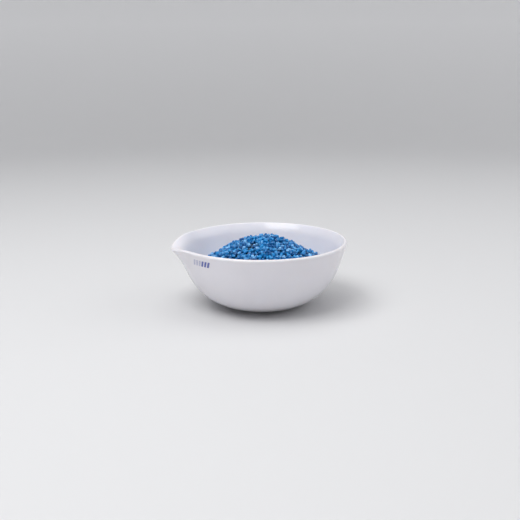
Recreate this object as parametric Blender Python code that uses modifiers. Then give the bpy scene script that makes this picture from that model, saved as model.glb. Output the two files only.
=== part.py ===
"""Porcelain evaporating dish, 160 mm across, holding a heap of short plastic granules.

The dish stands on the ground plane with its foot centred on the origin and its pouring lip
pointing along -X. Lengths in the constants are millimetres; the meshes are in metres.
"""
import math
import random

import bmesh
import bpy
from mathutils import Matrix, Vector

MM = 0.001

# Outside of the dish, from the flat foot to the rounded rim
HEIGHT = 63.0
RIM_RADIUS = 80.0
FOOT_RADIUS = 27.0
FOOT_RISE = math.radians(14.0)  # angle of the underside just outside the foot, from level
SHOULDER = (68.0, 28.0)  # radius and height where the belly turns into the wall
SHOULDER_LEAN = math.radians(31.0)  # lean of the wall there, from upright
RIM_LEAN = math.radians(22.0)
BELLY_PULL = (24.0, 15.0)  # how far each end of the belly curve keeps its direction
WALL_PULL = (11.0, 9.0)
BELLY_POINTS = 10
WALL_POINTS = 8
RIM_POINTS = 6
TURNED_STEPS = 96

# Thickness of the porcelain: thickest in the floor, thinning out over the top of the wall
FLOOR_THICKNESS = 5.6
WALL_THICKNESS = 4.6
RIM_THICKNESS = 3.2
RIM_TAPER = 9.0

# Pouring lip, pinched out of the rim towards -X and bent down a little
LIP_ROOT = 32.0  # height at which the wall starts to bulge towards the lip
LIP_BEND = 2.0  # of the outside; the higher, the nearer the rim the wall turns outwards
GROOVE_BEND = 4.6  # the same, of the inside
LIP_REACH = 6.3
REACH_SPREAD = math.radians(57.0)  # half of the turn of rim that is drawn outwards
REACH_POINT = 2.6
LIP_DIP = 5.3
DIP_SPREAD = math.radians(32.0)  # half of the turn of rim that is bent down
DIP_POINT = 1.5

# Fill: a heap of granules with a rounded conical top
GAP = 0.4  # room between a granule and what it lies on
HEAP_CLEARANCE = 0.6  # between the heap and the inside of the dish
HEAP_TOP = 64.0
HEAP_REPOSE = math.radians(29.0)
CROWN_RADIUS = 30.0  # inside this radius the cone is rounded off
CROWN_POINTS = 6
SLOPE_POINTS = 4
HEAP_STEPS = 60

# Loose granules lying on the heap, ring by ring: (distance from the middle, how many)
GRANULE_RADIUS = 1.3
GRANULE_LENGTH = 4.0
GRANULE_SIDES = 10
GRANULE_RINGS = ((5.0, 2), (14.0, 5), (24.0, 7), (35.0, 8), (46.0, 8))
GRANULE_SEED = 12

PORCELAIN = (0.80, 0.80, 0.82)
PELLET_BLUE = (0.03, 0.20, 0.52)


def clear_scene():
    """Start from an empty file."""
    for obj in list(bpy.data.objects):
        bpy.data.objects.remove(obj, do_unlink=True)


def make_material(name, colour, roughness):
    """A plain Principled material."""
    material = bpy.data.materials.new(name)
    material.use_nodes = True
    shader = material.node_tree.nodes["Principled BSDF"]
    shader.inputs["Base Color"].default_value = (*colour, 1.0)
    shader.inputs["Roughness"].default_value = roughness
    material.diffuse_color = (*colour, 1.0)
    return material


def lean_direction(lean):
    """Unit step up a surface in the (radius, height) plane that leans out by an angle."""
    return Vector((math.sin(lean), math.cos(lean)))


def bezier(start, start_pull, end, end_pull, count):
    """Points of a cubic curve from start to end; the pulls are vectors to its two handles."""
    start, end = Vector(start), Vector(end)
    leaving, arriving = start + start_pull, end - end_pull
    points = []
    for i in range(count + 1):
        t = i / count
        s = 1.0 - t
        middle = 3 * s * s * t * leaving + 3 * s * t * t * arriving
        points.append(s**3 * start + middle + t**3 * end)
    return points


def outer_wall():
    """Outside of the dish from the edge of the foot up to where the rim's rounding starts."""
    rise = lean_direction(math.pi / 2 - FOOT_RISE)
    shoulder = lean_direction(SHOULDER_LEAN)
    rim = lean_direction(RIM_LEAN)
    half = RIM_THICKNESS / 2
    top = Vector((RIM_RADIUS - half + half * rim.y, HEIGHT - half - half * rim.x))
    foot = (FOOT_RADIUS, 0.0)
    belly = bezier(foot, BELLY_PULL[0] * rise, SHOULDER, BELLY_PULL[1] * shoulder, BELLY_POINTS)
    wall = bezier(SHOULDER, WALL_PULL[0] * shoulder, top, WALL_PULL[1] * rim, WALL_POINTS)
    return belly + wall[1:]


def offset_inwards(curve, distances):
    """The points of a wall curve moved towards the hollow of the dish."""
    last = len(curve) - 1
    moved = []
    for i, (point, distance) in enumerate(zip(curve, distances)):
        along = (curve[min(i + 1, last)] - curve[max(i - 1, 0)]).normalized()
        moved.append(point + distance * Vector((-along.y, along.x)))
    return moved


def wall_thicknesses(outside):
    """Thickness of the porcelain at each point of the outside."""
    top = outside[-1].y
    thicknesses = []
    for point in outside:
        body = FLOOR_THICKNESS + (WALL_THICKNESS - FLOOR_THICKNESS) * point.y / top
        near_rim = math.sin(math.pi / 2 * min(1.0, (top - point.y) / RIM_TAPER))
        thicknesses.append(RIM_THICKNESS + (body - RIM_THICKNESS) * near_rim)
    return thicknesses


def rim_rounding(inner_top, outer_top):
    """Half-round edge from the top of the inside over to the top of the outside."""
    middle = (inner_top + outer_top) / 2
    arm = inner_top - middle
    points = []
    for i in range(1, RIM_POINTS):
        turn = -math.pi * i / RIM_POINTS
        c, s = math.cos(turn), math.sin(turn)
        points.append(middle + Vector((arm.x * c - arm.y * s, arm.x * s + arm.y * c)))
    return points


def turn_profile(name, profile, steps, collection, material):
    """An object turned from a profile of (radius, height) points in millimetres."""
    line = bpy.data.meshes.new(name)
    points = [(point.x * MM, 0.0, point.y * MM) for point in profile]
    line.from_pydata(points, [(i, i + 1) for i in range(len(points) - 1)], [])
    line.materials.append(material)
    turned = bpy.data.objects.new(name, line)
    collection.objects.link(turned)
    screw = turned.modifiers.new("turned", "SCREW")
    screw.axis = "Z"
    screw.steps = steps
    screw.render_steps = steps
    screw.use_merge_vertices = True
    screw.merge_threshold = 0.00001
    screw.use_smooth_shade = True
    return turned


def apply_modifiers(obj):
    """Swap an object's mesh for what its modifiers make of it."""
    bpy.context.view_layer.update()
    shaped = obj.evaluated_get(bpy.context.evaluated_depsgraph_get())
    solid = bpy.data.meshes.new_from_object(shaped)
    before = obj.data
    obj.modifiers.clear()
    obj.data = solid
    bpy.data.meshes.remove(before)
    solid.name = obj.name


def window(angle, spread, point):
    """1 at angle 0, falling smoothly to 0 at the spread; a higher point makes it narrower."""
    if abs(angle) >= spread:
        return 0.0
    return (0.5 + 0.5 * math.cos(math.pi * angle / spread)) ** point


def radius_at(curve, height):
    """Radius of a rising curve at a height; above its top, the radius at the top."""
    for low, high in zip(curve, curve[1:]):
        if height < high.y:
            return low.x + (high.x - low.x) * (height - low.y) / (high.y - low.y)
    return curve[-1].x


def pull_lip(point, outside):
    """Where a point of the turned bowl lies once the lip has been pinched out."""
    root = LIP_ROOT * MM
    if point.z <= root:
        return point
    radius = math.hypot(point.x, point.y)
    behind = radius_at(outside, point.z / MM) - radius / MM
    inside_share = min(1.0, max(0.0, behind / RIM_THICKNESS))
    bend = LIP_BEND + (GROOVE_BEND - LIP_BEND) * inside_share
    away = math.atan2(point.y, -point.x)
    rise = ((point.z - root) / (HEIGHT * MM - root)) ** bend
    reach = LIP_REACH * MM * rise * window(away, REACH_SPREAD, REACH_POINT)
    dip = LIP_DIP * MM * rise * window(away, DIP_SPREAD, DIP_POINT)
    grow = 1.0 + reach / radius
    return Vector((point.x * grow, point.y * grow, point.z - dip))


def build_dish(collection, material):
    """The bowl in one piece: foot, belly, wall, rounded rim and lip. Returns its inside curve."""
    outside = outer_wall()
    inside = offset_inwards(outside, wall_thicknesses(outside))
    profile = [Vector((0.0, inside[0].y))] + inside
    profile += rim_rounding(inside[-1], outside[-1])
    profile += reversed(outside)
    profile.append(Vector((0.0, 0.0)))
    dish = turn_profile("dish_body", profile, TURNED_STEPS, collection, material)
    apply_modifiers(dish)
    for vertex in dish.data.vertices:
        vertex.co = pull_lip(vertex.co, outside)
    return inside


def heap_lean(radius):
    """Angle of the heap's top face from level at a distance from the middle."""
    return math.atan(math.tan(HEAP_REPOSE) * min(1.0, radius / CROWN_RADIUS))


def heap_height(radius):
    """Height of the heap's top face at a distance from the middle."""
    slope = math.tan(HEAP_REPOSE)
    if radius < CROWN_RADIUS:
        return HEAP_TOP - slope * radius * radius / (2 * CROWN_RADIUS)
    return HEAP_TOP - slope * (radius - CROWN_RADIUS / 2)


def build_heap(collection, material, inside):
    """The body of the fill: it follows the inside of the dish and rises to a low cone."""
    lining = offset_inwards(inside, [HEAP_CLEARANCE] * len(inside))
    covered = [point for point in lining if point.y < heap_height(point.x)]
    under, over = covered[-1], lining[len(covered)]
    drop, climb = heap_height(under.x) - under.y, over.y - heap_height(over.x)
    edge = under.lerp(over, drop / (drop + climb))
    crown = [CROWN_RADIUS * i / CROWN_POINTS for i in range(CROWN_POINTS)]
    slope = [
        CROWN_RADIUS + (edge.x - CROWN_RADIUS) * i / SLOPE_POINTS for i in range(SLOPE_POINTS)
    ]
    profile = [Vector((radius, heap_height(radius))) for radius in crown + slope]
    profile.append(edge)
    profile += reversed(covered)
    profile.append(Vector((0.0, covered[0].y)))
    return turn_profile("granulate_heap", profile, HEAP_STEPS, collection, material)


def granule_mesh(material):
    """A short cylinder along Z, cut off square from an extruded strand."""
    mesh = bpy.data.meshes.new("granule")
    shape = bmesh.new()
    bmesh.ops.create_cone(
        shape,
        cap_ends=True,
        segments=GRANULE_SIDES,
        radius1=GRANULE_RADIUS * MM,
        radius2=GRANULE_RADIUS * MM,
        depth=GRANULE_LENGTH * MM,
    )
    shape.to_mesh(mesh)
    shape.free()
    mesh.shade_smooth()
    mesh.set_sharp_from_angle(angle=math.radians(40.0))
    mesh.materials.append(material)
    return mesh


def build_granules(collection, material):
    """Granules lying every which way on the slope of the heap, each an object of its own."""
    chance = random.Random(GRANULE_SEED)
    mesh = granule_mesh(material)
    granules = []
    for ring, (radius, count) in enumerate(GRANULE_RINGS):
        for place in range(count):
            turn = 2 * math.pi * (place + 0.5 * (ring % 2) + chance.uniform(-0.15, 0.15)) / count
            lean = Matrix.Rotation(turn, 4, "Z") @ Matrix.Rotation(heap_lean(radius), 4, "Y")
            lying = Matrix.Rotation(chance.uniform(0.0, math.pi), 4, "Z")
            lying = lying @ Matrix.Rotation(math.pi / 2, 4, "X")
            lift = lean @ Vector((0.0, 0.0, GRANULE_RADIUS + GAP))
            spot = Vector((radius * math.cos(turn), radius * math.sin(turn), heap_height(radius)))
            granule = bpy.data.objects.new(f"granule_{len(granules) + 1:02d}", mesh)
            granule.location = (spot + lift) * MM
            granule.rotation_euler = (lean @ lying).to_euler()
            collection.objects.link(granule)
            granules.append(granule)
    return granules


def main():
    clear_scene()
    collection = bpy.data.collections.new("evaporating_dish")
    bpy.context.scene.collection.children.link(collection)
    porcelain = make_material("glazed_porcelain", PORCELAIN, 0.15)
    pellets = make_material("blue_plastic", PELLET_BLUE, 0.35)
    inside = build_dish(collection, porcelain)

    # The whole fill hangs on an empty on the line it is lifted along
    lift = bpy.data.objects.new("granulate_lift", None)
    collection.objects.link(lift)
    fill = [build_heap(collection, pellets, inside), *build_granules(collection, pellets)]
    for piece in fill:
        piece.parent = lift


main()
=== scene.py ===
"""Looks of the porcelain evaporating dish with its heap of blue plastic granules.

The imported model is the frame. The dish is turned again here as a fine surface of the same shape,
and the fill is made of separate granules, packed by pushing overlapping ones apart.
Shapes are worked out in millimetres; lights, camera and textures are in metres.
"""
import math

import bpy
import numpy as np
from mathutils import Euler, Matrix, Vector, kdtree


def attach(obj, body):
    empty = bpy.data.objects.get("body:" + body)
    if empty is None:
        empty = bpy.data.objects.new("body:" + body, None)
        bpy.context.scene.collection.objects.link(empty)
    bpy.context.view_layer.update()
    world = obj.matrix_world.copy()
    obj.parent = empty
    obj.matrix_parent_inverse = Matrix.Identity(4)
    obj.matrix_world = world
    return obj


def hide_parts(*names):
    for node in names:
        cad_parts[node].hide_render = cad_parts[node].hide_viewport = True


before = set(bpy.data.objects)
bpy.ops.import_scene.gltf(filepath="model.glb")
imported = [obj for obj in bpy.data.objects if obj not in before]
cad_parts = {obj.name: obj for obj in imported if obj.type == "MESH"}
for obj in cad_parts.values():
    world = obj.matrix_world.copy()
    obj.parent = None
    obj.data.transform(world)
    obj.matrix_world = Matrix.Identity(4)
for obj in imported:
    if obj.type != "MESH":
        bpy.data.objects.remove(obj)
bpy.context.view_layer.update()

MM = 0.001
TINY = 1e-6  # keeps a division from being by zero

# ---------------------------------------------------------------- the dish, as in the CAD model
HEIGHT = 63.0
RIM_RADIUS = 80.0
FOOT_RADIUS = 27.0
FOOT_RISE = math.radians(14.0)  # angle of the underside just outside the foot, from level
SHOULDER = (68.0, 28.0)  # radius and height where the belly turns into the wall
SHOULDER_LEAN = math.radians(31.0)  # lean of the wall there, from upright
RIM_LEAN = math.radians(22.0)
BELLY_PULL = (24.0, 15.0)  # how far each end of the belly curve keeps its direction
WALL_PULL = (11.0, 9.0)
FLOOR_THICKNESS = 5.6
WALL_THICKNESS = 4.6
RIM_THICKNESS = 3.2
RIM_TAPER = 9.0  # height over which the wall thins towards the rim
LIP_ROOT = 32.0  # height at which the wall starts to bulge towards the lip
LIP_BEND = 2.0  # of the outside; the higher, the nearer the rim the wall turns outwards
GROOVE_BEND = 4.6  # the same, of the inside
LIP_REACH = 6.3
REACH_SPREAD = math.radians(57.0)  # half of the turn of rim that is drawn outwards
REACH_POINT = 2.6
LIP_DIP = 5.3
DIP_SPREAD = math.radians(32.0)  # half of the turn of rim that is bent down
DIP_POINT = 1.5

# How finely it is turned here
BELLY_POINTS = 40
WALL_POINTS = 36
RIM_POINTS = 20
TURNED_STEPS = 288
BOWL_FLOOR_POINTS = 27  # across the flat floor, to find the nearest porcelain
BOWL_FLOOR_RINGS = (0.33, 0.66)  # shares of the radius of the bowl's flat floor
FOOT_RINGS = (0.98, 0.6, 0.3)  # shares of the foot's radius

THIN_GLAZE = 1.3  # how far from the crest of the rim the glaze runs thin
BARE_BELOW = 0.01  # under this level the porcelain has no glaze

# A row of leaning bars fired on the outside of the wall: the first half faded, the rest fresh
MARK_COUNT = 6
MARK_START = math.radians(213.1)
MARK_PITCH = math.radians(2.6)
MARK_LEVEL = 54.1
MARK_WIDTH = 2.4
MARK_HEIGHT = 5.4
MARK_LEAN = 1.3  # sideways, top and bottom
MARK_PROUD = 0.05
MARK_SUNK = 0.15
MARK_HOLLOW = 0.4  # size of the closed middle of a bar's face, as a share of the bar
FRESH_INK, FADED_INK = 0.88, 0.34

# ---------------------------------------------------------------- the fill
HEAP_TOP = 66.6  # level of the heap's surface in the middle
HEAP_REPOSE = math.radians(29.0)
CROWN_RADIUS = 30.0  # inside this radius the cone is rounded off
HEAP_MIDDLE = (2.0, 0.0)
SCATTER_SEED = 20
TOP_GRANULES = 2350
UNDER_GRANULES = 1700
TOP_SECTORS = 3  # how many pieces the granules are shared out among
UNDER_SECTORS = 2

GRANULE_RADIUS = 1.3
GRANULE_LENGTH = 4.0
GRANULE_SIDES = 12
GRANULE_EDGE = 0.13  # how much of the cut ends' edges is rounded off
GRANULE_OVAL = (0.92, 1.08)  # how far from round
CUT_SLANT = 0.10  # the cut ends aren't quite square

# For packing, a granule is three balls in a row
BALL_PLACES = np.array((-1.0, 0.0, 1.0))
BALL_SPACING = 1.0
BALL_RADIUS = 1.32
WALL_GAP = 0.35  # least room between a granule and the porcelain
CORE_DEPTH = 5.6  # how far the granules go down below the heap's surface
STANDING_PROUD = 1.6  # how far single ones may stand above it
LINING = 3.1  # how far the under granules go in from the porcelain
LINING_SLACK = 0.8  # and single ones further
TOP_ROUNDS = 150
UNDER_ROUNDS = 110
SCATTER_REACH = 70.0  # the top granules start within this of the middle, each way,
SCATTER_ABOVE = 0.4  # at most this much above the heap's surface
SCATTER_GAP = 1.2  # and at least this far from the porcelain
UNDER_FLATNESS = 0.6  # how much the under granules start along the porcelain
UNDER_STARTS = 0.75  # the under granules start this share of the core's depth down
ROUNDS_PER_SEARCH = 8  # how many rounds use the same list of neighbours
SEARCH_SLACK = 0.6
FIRST_PRESS = 0.05  # how far granules sink in the first round
PRESS_FADE = 0.85  # the share of that lost by the last
PUSH = 1.2  # a little over 1, so that overlaps clear sooner

# Painted shade: granules are coloured darker the further they lie inside the fill, from its top and
# from the porcelain
GAP_SHADE_FROM = 1.2  # depth in the fill at which the painted shade between granules starts
GAP_SHADE_OVER = 2.6

# The body behind the granules, coloured dark as painted shade
CORE_SUNK = 0.6
CORE_OVERLAP = 0.3
CORE_POINTS = 40
CORE_STEPS = 96

# ---------------------------------------------------------------- the stage and the view
FLOOR_RADIUS = 1200.0
FLOOR_FILLET = 1200.0
WALL_HEIGHT = 2500.0
FLOOR_STEPS = 96
FILLET_POINTS = 16

LIGHTS_AIM = Vector((0.0, 0.0, 0.04))
WORLD_COLOUR = (0.95, 0.96, 1.0, 1.0)
WORLD_STRENGTH = 0.38

VIEW_ELEVATION = math.radians(13.0)
VIEW_TURN = math.radians(6.6)  # how far the dish is turned round from square to the camera
VIEW_DISTANCE = 0.8  # from the middle of the rim
VIEW_ROLL = math.radians(0.32)
VIEW_LENS = 58.7
AIM_BELOW = 0.01947  # the camera points this far below the middle of the rim
AIM_LEFT = 0.00185


# ---------------------------------------------------------------- curves of the dish
def smooth_window(angle, spread, point):
    """1 at angle 0, falling smoothly to 0 at the spread; a higher point makes it narrower."""
    inner = np.clip(np.abs(angle) / spread, 0.0, 1.0)
    return (0.5 + 0.5 * np.cos(np.pi * inner)) ** point


def lean_direction(lean):
    """Unit step up a surface in the (radius, height) plane that leans out by an angle."""
    return np.array((math.sin(lean), math.cos(lean)))


def bezier(start, start_pull, end, end_pull, count):
    """Points of a cubic curve from start to end; the pulls are vectors to its two handles."""
    t = np.linspace(0.0, 1.0, count + 1)[:, None]
    s = 1.0 - t
    start, end = np.array(start), np.array(end)
    leaving, arriving = start + start_pull, end - end_pull
    return s**3 * start + 3 * s * s * t * leaving + 3 * s * t * t * arriving + t**3 * end


def outer_wall():
    """Outside of the dish from the edge of the foot up to the rim's rounding."""
    shoulder, rim = lean_direction(SHOULDER_LEAN), lean_direction(RIM_LEAN)
    half = RIM_THICKNESS / 2
    top = np.array((RIM_RADIUS - half + half * rim[1], HEIGHT - half - half * rim[0]))
    rise = lean_direction(math.pi / 2 - FOOT_RISE)
    foot = (FOOT_RADIUS, 0.0)
    belly = bezier(foot, BELLY_PULL[0] * rise, SHOULDER, BELLY_PULL[1] * shoulder, BELLY_POINTS)
    wall = bezier(SHOULDER, WALL_PULL[0] * shoulder, top, WALL_PULL[1] * rim, WALL_POINTS)
    return np.vstack((belly, wall[1:]))


def offset_inwards(curve, distances):
    """The points of a wall curve moved towards the hollow of the dish."""
    along = np.gradient(curve, axis=0)
    along /= np.linalg.norm(along, axis=1)[:, None]
    return curve + np.asarray(distances)[:, None] * np.stack((-along[:, 1], along[:, 0]), 1)


def wall_thicknesses(outside):
    """Thickness of the porcelain at each point of the outside."""
    top = outside[-1, 1]
    body = FLOOR_THICKNESS + (WALL_THICKNESS - FLOOR_THICKNESS) * outside[:, 1] / top
    near_rim = np.sin(np.pi / 2 * np.minimum(1.0, (top - outside[:, 1]) / RIM_TAPER))
    return RIM_THICKNESS + (body - RIM_THICKNESS) * near_rim


def rim_rounding(inner_top, outer_top):
    """Half-round edge from the top of the inside over to the top of the outside."""
    middle = (inner_top + outer_top) / 2
    arm = inner_top - middle
    turns = -np.pi * np.arange(1, RIM_POINTS) / RIM_POINTS
    c, s = np.cos(turns), np.sin(turns)
    return middle + np.stack((arm[0] * c - arm[1] * s, arm[0] * s + arm[1] * c), 1)


def pull_lip(points, outside):
    """Where points of the turned bowl lie once the lip has been pinched out."""
    moved = points.copy()
    radius = np.maximum(np.hypot(points[:, 0], points[:, 1]), TINY)
    wall = np.interp(points[:, 2], outside[:, 1], outside[:, 0])
    inside_share = np.clip((wall - radius) / RIM_THICKNESS, 0.0, 1.0)
    bend = LIP_BEND + (GROOVE_BEND - LIP_BEND) * inside_share
    away = np.arctan2(points[:, 1], -points[:, 0])
    rise = (np.maximum(points[:, 2] - LIP_ROOT, 0.0) / (HEIGHT - LIP_ROOT)) ** bend
    reach = LIP_REACH * rise * smooth_window(away, REACH_SPREAD, REACH_POINT)
    dip = LIP_DIP * rise * smooth_window(away, DIP_SPREAD, DIP_POINT)
    moved[:, :2] *= (1.0 + reach / radius)[:, None]
    moved[:, 2] -= dip
    return moved


# ---------------------------------------------------------------- meshes
def mesh_from_arrays(name, points, faces, smooth=True):
    """A mesh from points in millimetres and a list of arrays of faces, one array for each size."""
    mesh = bpy.data.meshes.new(name)
    loops = np.concatenate([f.ravel() for f in faces])
    totals = np.concatenate([np.full(len(f), f.shape[1]) for f in faces])
    starts = np.concatenate(([0], np.cumsum(totals)[:-1]))
    mesh.vertices.add(len(points))
    mesh.vertices.foreach_set("co", (np.asarray(points) * MM).ravel().astype(np.float32))
    mesh.loops.add(len(loops))
    mesh.loops.foreach_set("vertex_index", loops.astype(np.int32))
    mesh.polygons.add(len(totals))
    mesh.polygons.foreach_set("loop_start", starts.astype(np.int32))
    mesh.polygons.foreach_set("loop_total", totals.astype(np.int32))
    mesh.polygons.foreach_set("use_smooth", np.full(len(totals), smooth))
    mesh.update(calc_edges=True)
    mesh.validate()
    return mesh


def add_attribute(mesh, name, values):
    """A number for each point of a mesh, for its material to read."""
    mesh.attributes.new(name, "FLOAT", "POINT").data.foreach_set("value", values.astype(np.float32))


def add_object(name, mesh, material):
    """A new object in the scene."""
    obj = bpy.data.objects.new(name, mesh)
    bpy.context.scene.collection.objects.link(obj)
    mesh.materials.append(material)
    return obj


def ring_steps(steps):
    """The numbers of the points round a ring, and of each one's neighbour."""
    here = np.arange(steps)
    return here, (here + 1) % steps


def turn_rings(rings, steps):
    """Points and quads of a surface turned from (radius, height) rows off the axis."""
    turns = 2 * np.pi * np.arange(steps) / steps
    points = np.stack(
        (
            rings[:, 0, None] * np.cos(turns),
            rings[:, 0, None] * np.sin(turns),
            np.repeat(rings[:, 1, None], steps, 1),
        ),
        -1,
    ).reshape(-1, 3)
    here, there = ring_steps(steps)
    start = np.arange(len(rings) - 1)[:, None] * steps
    quads = np.stack(
        (start + here, start + steps + here, start + steps + there, start + there), -1
    ).reshape(-1, 4)
    return points, quads


def revolve(profile, steps):
    """Points and faces of a closed turned solid; the profile starts and ends on the axis."""
    body, quads = turn_rings(profile[1:-1], steps)
    points = np.vstack((body, [(0.0, 0.0, profile[0, 1]), (0.0, 0.0, profile[-1, 1])]))
    first, last = len(body), len(body) + 1
    here, there = ring_steps(steps)
    end = len(body) - steps
    top = np.stack((np.full(steps, first), here, there), 1)
    bottom = np.stack((np.full(steps, last), end + there, end + here), 1)
    return points, [quads, top, bottom]


# ---------------------------------------------------------------- materials
def new_material(name):
    """A new material, with its node tree and its shader."""
    material = bpy.data.materials.new(name)
    material.use_nodes = True
    return material, material.node_tree, material.node_tree.nodes["Principled BSDF"]


def set_values(shader, **values):
    """Sets sockets of a shader by name, with _ for each space."""
    for key, value in values.items():
        shader.inputs[key.replace("_", " ")].default_value = value


def noise(tree, coordinates, scale, detail=2.0, roughness=0.5):
    """Cloudy noise between 0 and 1; a scale of 1 is a metre, and higher ones are finer."""
    node = tree.nodes.new("ShaderNodeTexNoise")
    node.inputs["Scale"].default_value = scale
    node.inputs["Detail"].default_value = detail
    node.inputs["Roughness"].default_value = roughness
    tree.links.new(coordinates, node.inputs["Vector"])
    return node.outputs["Fac"]


def ramp(tree, factor, stops):
    """A colour from a factor, by stops of (position, colour)."""
    node = tree.nodes.new("ShaderNodeValToRGB")
    elements = node.color_ramp.elements
    while len(elements) < len(stops):
        elements.new(1.0)
    for element, (position, colour) in zip(elements, stops):
        element.position = position
        element.color = (*colour, 1.0)
    tree.links.new(factor, node.inputs["Fac"])
    return node.outputs["Color"]


def remap(tree, value, low, high, to_low, to_high):
    """The value with low to high stretched to to_low to to_high, and held there beyond."""
    node = tree.nodes.new("ShaderNodeMapRange")
    for key, number in (
        ("From Min", low),
        ("From Max", high),
        ("To Min", to_low),
        ("To Max", to_high),
    ):
        node.inputs[key].default_value = number
    tree.links.new(value, node.inputs["Value"])
    return node.outputs["Result"]


def mix_colours(tree, factor, a, b):
    """Colour a where the factor is 0 and colour b where it is 1."""
    node = tree.nodes.new("ShaderNodeMix")
    node.data_type = "RGBA"
    for key, value in (("Factor", factor), ("A", a), ("B", b)):
        socket = next(s for s in node.inputs if s.name == key and s.enabled)
        if isinstance(value, bpy.types.NodeSocket):
            tree.links.new(value, socket)
        else:
            socket.default_value = (*value, 1.0)
    return next(s for s in node.outputs if s.enabled)


def bump(tree, height, strength, distance, normal=None):
    """A surface made uneven by a height, on top of an earlier unevenness if there is one."""
    node = tree.nodes.new("ShaderNodeBump")
    node.inputs["Strength"].default_value = strength
    node.inputs["Distance"].default_value = distance
    tree.links.new(height, node.inputs["Height"])
    if normal is not None:
        tree.links.new(normal, node.inputs["Normal"])
    return node.outputs["Normal"]


def attribute(tree, name):
    """A number that the mesh carries at each point."""
    node = tree.nodes.new("ShaderNodeAttribute")
    node.attribute_name = name
    return node.outputs["Fac"]


def calculate(tree, operation, a, b):
    """Two numbers put together by MULTIPLY, MAXIMUM or the like."""
    node = tree.nodes.new("ShaderNodeMath")
    node.operation = operation
    tree.links.new(a, node.inputs[0])
    tree.links.new(b, node.inputs[1])
    return node.outputs[0]


def multiply(tree, a, b):
    return calculate(tree, "MULTIPLY", a, b)


def object_coordinates(tree):
    """Places on the object, in metres."""
    return tree.nodes.new("ShaderNodeTexCoord").outputs["Object"]


def porcelain():
    """Glazed hard porcelain: cool white, a touch warmer where the glaze thins at the rim."""
    material, tree, shader = new_material("glazed_porcelain")
    where = object_coordinates(tree)
    clouds = noise(tree, where, 22.0, 3.0)
    body = ramp(tree, clouds, ((0.3, (0.790, 0.777, 0.825)), (0.7, (0.820, 0.807, 0.850))))
    # iron specks, rare and small
    cells = tree.nodes.new("ShaderNodeTexVoronoi")
    cells.inputs["Scale"].default_value = 85.0
    tree.links.new(where, cells.inputs["Vector"])
    near = remap(tree, cells.outputs["Distance"], 0.0, 0.035, 1.0, 0.0)
    rare = remap(tree, noise(tree, where, 60.0, 0.0), 0.66, 0.72, 0.0, 1.0)
    speckled = mix_colours(tree, multiply(tree, near, rare), body, (0.42, 0.36, 0.33))
    patchy = remap(tree, noise(tree, where, 90.0, 3.0), 0.3, 0.7, 0.35, 1.0)
    thin = multiply(tree, attribute(tree, "thin_glaze"), patchy)
    rimmed = mix_colours(tree, thin, speckled, (0.80, 0.765, 0.775))
    bare = attribute(tree, "bare")
    clay = noise(tree, where, 1500.0, 3.0)
    grainy = ramp(tree, clay, ((0.3, (0.62, 0.58, 0.54)), (0.7, (0.74, 0.71, 0.67))))
    tree.links.new(mix_colours(tree, bare, rimmed, grainy), shader.inputs["Base Color"])
    glaze = remap(tree, noise(tree, where, 140.0, 2.0), 0.3, 0.7, 0.16, 0.25)
    rough = calculate(tree, "MAXIMUM", glaze, remap(tree, bare, 0.0, 1.0, 0.0, 0.8))
    tree.links.new(rough, shader.inputs["Roughness"])
    waves = bump(tree, noise(tree, where, 55.0, 2.0), 0.12, 0.0004)
    grain = multiply(tree, noise(tree, where, 2500.0, 2.0), bare)
    tree.links.new(bump(tree, grain, 0.5, 0.0001, waves), shader.inputs["Normal"])
    set_values(shader, IOR=1.5, Subsurface_Weight=0.25, Subsurface_Scale=0.004)
    shader.inputs["Subsurface Radius"].default_value = (1.0, 0.85, 0.75)
    return material


def pellet_plastic():
    """Dyed plastic: each granule has its own shade, and painted shade makes it darker down between
    the others.
    """
    material, tree, shader = new_material("blue_plastic")
    where = object_coordinates(tree)
    island = tree.nodes.new("ShaderNodeNewGeometry").outputs["Random Per Island"]
    shade = ramp(
        tree,
        island,
        (
            (0.0, (0.002, 0.070, 0.250)),
            (0.4, (0.003, 0.165, 0.460)),
            (0.75, (0.012, 0.280, 0.660)),
            (1.0, (0.260, 0.570, 0.930)),
        ),
    )
    mottled = mix_colours(
        tree,
        remap(tree, noise(tree, where, 900.0, 3.0), 0.35, 0.75, 0.0, 0.22),
        shade,
        (0.05, 0.34, 0.70),
    )
    # painted shade: darker blue the further a point lies in between the granules
    gap_shaded = mix_colours(tree, attribute(tree, "painted_gap_shade"), mottled, (0.005, 0.017, 0.062))
    tree.links.new(gap_shaded, shader.inputs["Base Color"])
    rough = remap(tree, noise(tree, where, 1600.0, 2.0), 0.3, 0.7, 0.14, 0.26)
    tree.links.new(rough, shader.inputs["Roughness"])
    grain = bump(tree, noise(tree, where, 2200.0, 3.0), 0.25, 0.0001)
    tree.links.new(grain, shader.inputs["Normal"])
    set_values(shader, IOR=1.46, Subsurface_Weight=0.1, Subsurface_Scale=0.0006)
    shader.inputs["Subsurface Radius"].default_value = (0.3, 0.7, 1.0)
    return material


def painted_shade_core_plastic():
    """What shows in the gaps between granules: the same plastic, coloured dark as painted shade."""
    material, tree, shader = new_material("blue_plastic_core_painted_shade")
    where = object_coordinates(tree)
    patches = noise(tree, where, 500.0, 3.0)
    # painted shade: dark blue, as the granules between would look in shade
    shade = ramp(tree, patches, ((0.3, (0.008, 0.02, 0.06)), (0.7, (0.012, 0.04, 0.12))))
    tree.links.new(shade, shader.inputs["Base Color"])
    set_values(shader, Roughness=0.6)
    return material


def ink(name, strength):
    """Fired-on blue ink, worn through where its strength is low."""
    material, tree, shader = new_material(name)
    where = object_coordinates(tree)
    worn = noise(tree, where, 900.0, 4.0, 0.6)
    worn = remap(tree, worn, 0.35, 0.65, strength - 0.10, strength + 0.10)
    colour = mix_colours(tree, worn, (0.78, 0.77, 0.82), (0.045, 0.080, 0.400))
    tree.links.new(colour, shader.inputs["Base Color"])
    gloss = remap(tree, noise(tree, where, 600.0, 2.0), 0.3, 0.7, 0.18, 0.30)
    tree.links.new(gloss, shader.inputs["Roughness"])
    set_values(shader, IOR=1.5)
    return material


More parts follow.
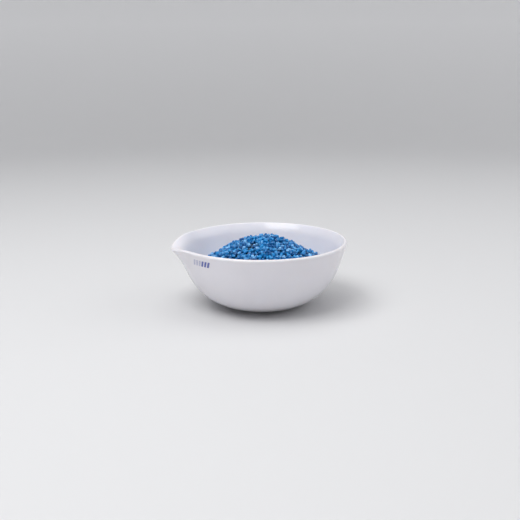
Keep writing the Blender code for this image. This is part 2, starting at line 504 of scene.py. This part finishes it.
# ---------------------------------------------------------------- dish
outside = outer_wall()
inside = offset_inwards(outside, wall_thicknesses(outside))
profile = np.vstack(
    (
        [(0.0, inside[0, 1])],
        [(inside[0, 0] * share, inside[0, 1]) for share in BOWL_FLOOR_RINGS],
        inside,
        rim_rounding(inside[-1], outside[-1]),
        outside[::-1],
        [(FOOT_RADIUS * share, 0.0) for share in FOOT_RINGS],
        [(0.0, 0.0)],
    )
)
points, faces = revolve(profile, TURNED_STEPS)
along = np.concatenate(([0.0], np.cumsum(np.linalg.norm(np.diff(profile, axis=0), axis=1))))
crest = along[len(BOWL_FLOOR_RINGS) + len(inside) + RIM_POINTS // 2]
from_crest = np.repeat(np.abs(along - crest)[1:-1], TURNED_STEPS)
mesh = mesh_from_arrays("dish", pull_lip(points, outside), faces)
thin_glaze = np.exp(-((np.append(from_crest, (crest, crest)) / THIN_GLAZE) ** 2))
add_attribute(mesh, "thin_glaze", thin_glaze)
add_attribute(mesh, "bare", (points[:, 2] < BARE_BELOW).astype(float))
dish = add_object("dish", mesh, porcelain())
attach(dish, "dish")
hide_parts("dish_body")


# ---------------------------------------------------------------- mark fired on the wall
def on_wall(angles, heights, proud):
    """Points on the outside of the wall, standing proud of it by so much."""
    shell = offset_inwards(outside, np.full(len(outside), -proud))
    radii = np.interp(heights, shell[:, 1], shell[:, 0])
    points = np.stack((radii * np.cos(angles), radii * np.sin(angles), heights), 1)
    return pull_lip(points, outside)


def leaning_bar(name, angle, height, material):
    """A thin leaning bar lying in the glaze."""
    corners = np.array(((-1, -1), (1, -1), (1, 1), (-1, 1)))
    loop = []
    for corner, after, steps in zip(corners, np.roll(corners, -1, axis=0), (4, 8, 4, 8)):
        t = np.arange(steps)[:, None] / steps
        loop.append(corner * (1 - t) + after * t)
    loop = np.vstack(loop)
    count = len(loop)
    rings = []
    for size, proud in (
        (1.0, -MARK_SUNK),
        (1.0, MARK_PROUD),
        (MARK_HOLLOW, MARK_PROUD),
        (MARK_HOLLOW, -MARK_SUNK),
    ):
        x, y = loop.T * size
        across = x * MARK_WIDTH / 2 + y * MARK_LEAN
        rings.append(on_wall(angle + across / RIM_RADIUS, height + y * MARK_HEIGHT / 2, proud))
    here, there = ring_steps(count)
    sides = [
        np.stack((k * count + here, k * count + there, j * count + there, j * count + here), 1)
        for k, j in ((0, 1), (1, 2), (3, 0))
    ]
    lids = [2 * count + here[None], 3 * count + here[None, ::-1]]
    mesh = mesh_from_arrays(name, np.vstack(rings), sides + lids, smooth=False)
    piece = add_object(name, mesh, material)
    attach(piece, "dish")


fresh_ink = ink("fired_ink", FRESH_INK)
faded_ink = ink("fired_ink_faded", FADED_INK)
for number in range(MARK_COUNT):
    angle = MARK_START + number * MARK_PITCH
    bar_ink = faded_ink if number < MARK_COUNT // 2 else fresh_ink
    leaning_bar(f"mark_{number + 1}", angle, MARK_LEVEL, bar_ink)


# ---------------------------------------------------------------- granules
def unit(vectors):
    """The same directions, one long."""
    return vectors / np.maximum(np.linalg.norm(vectors, axis=-1), 1e-9)[..., None]


def heap_height(radius, top=HEAP_TOP):
    """Level of the heap's surface at distances from its middle."""
    slope = math.tan(HEAP_REPOSE)
    inner = top - slope * radius * radius / (2 * CROWN_RADIUS)
    outer = top - slope * (radius - CROWN_RADIUS / 2)
    return np.where(radius < CROWN_RADIUS, inner, outer)


def heap_surface(points):
    """Depths of points below the heap's surface, and directions straight out of it."""
    from_middle = points[:, :2] - HEAP_MIDDLE
    radius = np.linalg.norm(from_middle, axis=1)
    slope = math.tan(HEAP_REPOSE) * np.minimum(1.0, radius / CROWN_RADIUS)
    sideways = from_middle * (slope / np.maximum(radius, TINY))[:, None]
    out = unit(np.column_stack((sideways, np.ones(len(points)))))
    return (heap_height(radius) - points[:, 2]) * out[:, 2], out


class Bowl:
    """Distance from the inside of the dish, for points within it, by the nearest profile point."""

    def __init__(self, curve):
        radii = np.linspace(0.0, curve[0, 0], BOWL_FLOOR_POINTS + 1)[:-1]
        floor = np.stack((radii, np.full(BOWL_FLOOR_POINTS, curve[0, 1])), 1)
        self.curve = np.vstack((floor, curve))
        along = np.gradient(self.curve, axis=0)
        along /= np.linalg.norm(along, axis=1)[:, None]
        self.normal = np.stack((-along[:, 1], along[:, 0]), 1)

    def depth(self, points):
        """Signed distances of points to the porcelain, and directions away from it."""
        radius = np.hypot(points[:, 0], points[:, 1])
        flat = np.stack((radius, points[:, 2]), 1)
        gap = ((flat[:, None] - self.curve[None]) ** 2).sum(2)
        nearest = gap.argmin(1)
        normal = self.normal[nearest]
        distance = ((flat - self.curve[nearest]) * normal).sum(1)
        safe = np.maximum(radius, TINY)
        x = normal[:, 0] * points[:, 0] / safe
        y = normal[:, 0] * points[:, 1] / safe
        return distance, np.stack((x, y, normal[:, 1]), 1)


bowl = Bowl(inside)
rng = np.random.default_rng(SCATTER_SEED)


def near_pairs(centres, reach):
    """Index pairs of the centres closer than reach."""
    tree = kdtree.KDTree(len(centres))
    for i, centre in enumerate(centres):
        tree.insert(centre, i)
    tree.balance()
    first, second = [], []
    for i, centre in enumerate(centres):
        for _, j, _ in tree.find_range(centre, reach):
            if j > i:
                first.append(i)
                second.append(j)
    return np.array(first), np.array(second)


def settle(centres, axes, radii, lengths, press, keep_in, rounds):
    """Moves granules together along press and pushes overlapping ones apart."""
    for step in range(rounds):
        if step % ROUNDS_PER_SEARCH == 0:
            first, second = near_pairs(centres, 2 * (BALL_SPACING + BALL_RADIUS) + SEARCH_SLACK)
        fade = 1.0 - PRESS_FADE * step / rounds
        centres = centres + press(centres) * FIRST_PRESS * fade
        reach = BALL_SPACING * lengths
        balls = centres[:, None] + axes[:, None] * (BALL_PLACES[None, :, None] * reach[:, None, None])
        push = np.zeros_like(balls)
        count = np.zeros(balls.shape[:2])
        for a in range(3):
            for b in range(3):
                gap = balls[first, a] - balls[second, b]
                far = np.linalg.norm(gap, axis=1)
                over = (radii[first] + radii[second]) - far
                hit = over > 0
                move = gap[hit] / np.maximum(far[hit], TINY)[:, None] * (over[hit, None] * 0.5)
                for side, index, sign in ((a, first[hit], 1.0), (b, second[hit], -1.0)):
                    np.add.at(push[:, side], index, move * sign)
                    np.add.at(count[:, side], index, 1.0)
        balls += push / np.maximum(count, 1.0)[..., None] * PUSH
        balls = keep_in(balls.reshape(-1, 3), np.repeat(radii, 3)).reshape(balls.shape)
        centres = balls.mean(1)
        axes = unit(balls[:, 2] - balls[:, 0])
    return centres, axes


def random_axes(normals, flatness):
    """Random directions; the higher the flatness, up to 1, the more they lie along the surface."""
    raw = unit(rng.normal(size=normals.shape))
    out = (raw * normals).sum(1)[:, None] * normals
    return unit(raw - out * flatness)


def scatter_top(count):
    """Starting places in the layer under the heap's surface."""
    places = []
    while len(places) < count:
        x, y = rng.uniform(-SCATTER_REACH, SCATTER_REACH, 2)
        level = float(heap_height(np.array(math.dist((x, y), HEAP_MIDDLE))))
        z = level - rng.uniform(-SCATTER_ABOVE, CORE_DEPTH)
        distance, _ = bowl.depth(np.array([(x, y, z)]))
        if distance[0] > SCATTER_GAP:
            places.append((x, y, z))
    return np.array(places)


def keep_top(points, radii):
    """Balls of the top layers stay above the core, below the surface and off the porcelain."""
    below, out = heap_surface(points)
    low = np.maximum(below + radii - CORE_DEPTH, 0.0)
    high = np.minimum(below + STANDING_PROUD - radii, 0.0)
    points = points + out * (low + high)[:, None]
    distance, away = bowl.depth(points)
    return points + away * np.maximum(radii + WALL_GAP - distance, 0.0)[:, None]


def scatter_under(count):
    """Starting places along the inside of the porcelain."""
    widths = np.hypot(*np.gradient(bowl.curve, axis=0).T) * bowl.curve[:, 0]
    share = widths / widths.sum()
    places = []
    while len(places) < count:
        i = rng.choice(len(share), p=share)
        off_wall = WALL_GAP + rng.uniform(SCATTER_GAP, LINING - LINING_SLACK)
        spot = bowl.curve[i] + bowl.normal[i] * off_wall
        if spot[1] > float(heap_height(np.array(spot[0]))) - CORE_DEPTH * UNDER_STARTS:
            continue
        turn = rng.uniform(0.0, 2 * math.pi)
        places.append((spot[0] * math.cos(turn), spot[0] * math.sin(turn), spot[1]))
    return np.array(places)


def keep_under(points, radii):
    """Balls of the under layer stay off the porcelain and don't go in far from it."""
    distance, away = bowl.depth(points)
    near = np.maximum(radii + WALL_GAP - distance, 0.0)
    far = np.minimum(LINING + LINING_SLACK - radii - distance, 0.0)
    return points + away * (near + far)[:, None]


def build_granules(name, centres, axes, radii, halves):
    """One mesh of many short cylinders with softened edges, slightly out of round."""
    sides, edge = GRANULE_SIDES, GRANULE_EDGE
    count = len(centres)
    turns = 2 * np.pi * np.arange(sides) / sides
    helper = np.where(np.abs(axes[:, 2:3]) < 0.9, (0.0, 0.0, 1.0), (1.0, 0.0, 0.0))
    u = unit(np.cross(helper, axes))
    v = np.cross(axes, u)
    oval = rng.uniform(*GRANULE_OVAL, count)
    slant = rng.normal(0.0, CUT_SLANT, (count, 2, 2))
    rings = []
    for end, inset, lift in ((0, edge, 0.0), (0, 0.0, edge), (1, 0.0, -edge), (1, edge, 0.0)):
        r = radii - inset
        x = r[:, None] * oval[:, None] * np.cos(turns)
        y = r[:, None] / oval[:, None] * np.sin(turns)
        tilt = x * slant[:, end, :1] + y * slant[:, end, 1:]
        z = (-halves if end == 0 else halves)[:, None] + lift + tilt
        ring = (
            centres[:, None]
            + u[:, None] * x[..., None]
            + v[:, None] * y[..., None]
            + axes[:, None] * z[..., None]
        )
        rings.append(ring)
    points = np.stack(rings, 1).reshape(-1, 3)
    base = np.arange(count)[:, None] * len(rings) * sides
    here, there = ring_steps(sides)
    quads = [
        np.stack(
            (
                base + k * sides + here,
                base + k * sides + there,
                base + (k + 1) * sides + there,
                base + (k + 1) * sides + here,
            ),
            -1,
        ).reshape(-1, 4)
        for k in range(len(rings) - 1)
    ]
    cut_ends = [base + here[::-1], base + (len(rings) - 1) * sides + here]
    mesh = mesh_from_arrays(name, points, quads + cut_ends)
    smooth = np.ones(len(mesh.polygons), dtype=bool)
    smooth[-2 * count :] = False
    mesh.polygons.foreach_set("use_smooth", smooth)
    # how much painted shade each point gets, for the material to read
    add_attribute(mesh, "painted_gap_shade", painted_gap_shade(points))
    return add_object(name, mesh, plastic)


def painted_gap_shade(points):
    """Painted shade: 0 at the outside of the fill, rising to 1 far in between the granules within it,
    where shade falls.
    """
    depth = np.minimum(heap_surface(points)[0], bowl.depth(points)[0])
    return np.clip((depth - GAP_SHADE_FROM) / GAP_SHADE_OVER, 0.0, 1.0)


def random_sizes(count):
    """Lengths of granules, as shares of the usual one, and radii of their balls."""
    lengths = rng.normal(1.0, 0.09, count).clip(0.78, 1.2)
    radii = BALL_RADIUS * rng.normal(1.0, 0.04, count).clip(0.9, 1.1)
    return lengths, radii


def towards_heap_core(centres):
    return -heap_surface(centres)[1]


def towards_porcelain(centres):
    return -bowl.depth(centres)[1]


top_centres = scatter_top(TOP_GRANULES)
top_lengths, top_radii = random_sizes(TOP_GRANULES)
top_axes = unit(rng.normal(size=top_centres.shape))
top_centres, top_axes = settle(
    top_centres, top_axes, top_radii, top_lengths, towards_heap_core, keep_top, TOP_ROUNDS
)

under_centres = scatter_under(UNDER_GRANULES)
under_lengths, under_radii = random_sizes(UNDER_GRANULES)
under_axes = random_axes(bowl.depth(under_centres)[1], UNDER_FLATNESS)
under_centres, under_axes = settle(
    under_centres,
    under_axes,
    under_radii,
    under_lengths,
    towards_porcelain,
    keep_under,
    UNDER_ROUNDS,
)

plastic = pellet_plastic()
for label, centres, axes, radii, lengths, sectors in (
    ("granules_top", top_centres, top_axes, top_radii, top_lengths, TOP_SECTORS),
    ("granules_under", under_centres, under_axes, under_radii, under_lengths, UNDER_SECTORS),
):
    round_the_middle = np.argsort(np.arctan2(centres[:, 1], centres[:, 0]))
    for number, chosen in enumerate(np.array_split(round_the_middle, sectors), 1):
        piece = build_granules(
            f"{label}_{number}",
            centres[chosen],
            axes[chosen],
            radii[chosen] * GRANULE_RADIUS / BALL_RADIUS,
            lengths[chosen] * GRANULE_LENGTH / 2,
        )
        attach(piece, "granulate")

# The body of the fill behind the outer granules, coloured dark as painted shade of the gaps
lining = offset_inwards(inside, np.full(len(inside), LINING - CORE_OVERLAP))
core_top = HEAP_TOP - CORE_DEPTH - CORE_SUNK
covered = lining[lining[:, 1] < heap_height(lining[:, 0], core_top) - CORE_OVERLAP]
core_radii = np.linspace(0.0, covered[-1, 0], CORE_POINTS)
core_surface = np.stack((core_radii, heap_height(core_radii, core_top)), 1)
core_profile = np.vstack((core_surface, covered[::-1], [(0.0, covered[0, 1])]))
points, faces = revolve(core_profile, CORE_STEPS)
mesh = mesh_from_arrays("granules_core", points, faces)
core = add_object("granules_core", mesh, painted_shade_core_plastic())
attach(core, "granulate")
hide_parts("granulate_heap")
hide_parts(*[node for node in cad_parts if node.startswith("granule_")])


# ---------------------------------------------------------------- stage, light, camera
def sweep():
    """A pale floor that curves up into a wall all round."""
    turns = np.linspace(0.0, math.pi / 2, FILLET_POINTS)
    across = FLOOR_RADIUS + FLOOR_FILLET * np.sin(turns)
    fillet = np.stack((across, FLOOR_FILLET * (1 - np.cos(turns))), 1)
    top = (FLOOR_RADIUS + FLOOR_FILLET, WALL_HEIGHT)
    rings = np.vstack(((FLOOR_RADIUS / 2, 0.0), fillet, top))
    body, quads = turn_rings(rings, FLOOR_STEPS)
    points = np.vstack((body, (0.0, 0.0, 0.0)))
    here, there = ring_steps(FLOOR_STEPS)
    middle = np.stack((np.full(FLOOR_STEPS, len(body)), here, there), 1)
    material, tree, shader = new_material("studio_floor")
    split = tree.nodes.new("ShaderNodeSeparateXYZ")
    tree.links.new(object_coordinates(tree), split.inputs[0])
    rise = remap(tree, split.outputs["Z"], 0.0, 0.3, 0.0, 1.0)
    shade = mix_colours(tree, rise, (0.68, 0.68, 0.685), (0.88, 0.88, 0.885))
    tree.links.new(shade, shader.inputs["Base Color"])
    set_values(shader, Roughness=0.85)
    add_object("floor", mesh_from_arrays("floor", points, [quads, middle]), material)


def softbox(name, place, size, watts):
    """A large soft light, pointed at the dish."""
    light = bpy.data.lights.new(name, "AREA")
    light.shape = "RECTANGLE"
    light.size, light.size_y = size
    light.energy = watts
    lamp = bpy.data.objects.new(name, light)
    lamp.location = place
    lamp.rotation_euler = (LIGHTS_AIM - Vector(place)).to_track_quat("-Z", "Y").to_euler()
    bpy.context.scene.collection.objects.link(lamp)


sweep()
softbox("key", (-0.55, -0.5, 1.25), (1.0, 0.75), 12.2)
softbox("overhead", (0.0, 0.15, 1.5), (1.5, 1.1), 6.6)
softbox("fill", (1.25, -0.1, 0.95), (1.2, 1.0), 3.9)

world = bpy.data.worlds.new("studio")
bpy.context.scene.world = world
world.use_nodes = True
background = world.node_tree.nodes["Background"]
background.inputs["Color"].default_value = WORLD_COLOUR
background.inputs["Strength"].default_value = WORLD_STRENGTH
bpy.context.scene.view_settings.view_transform = "Standard"

camera = bpy.data.cameras.new("camera")
camera.lens = VIEW_LENS
camera.sensor_width = 36.0
viewer = bpy.data.objects.new("camera", camera)
bpy.context.scene.collection.objects.link(viewer)
back = Euler((math.pi / 2 - VIEW_ELEVATION, 0.0, -VIEW_TURN)).to_matrix()
rim_middle = Vector((0.0, 0.0, HEIGHT * MM))
viewer.location = rim_middle + back.col[2] * VIEW_DISTANCE
aim = rim_middle - back.col[1] * AIM_BELOW - back.col[0] * AIM_LEFT
look = (aim - viewer.location).to_track_quat("-Z", "Y").to_matrix()
viewer.rotation_euler = (look @ Matrix.Rotation(-VIEW_ROLL, 3, "Z")).to_euler()
bpy.context.scene.camera = viewer
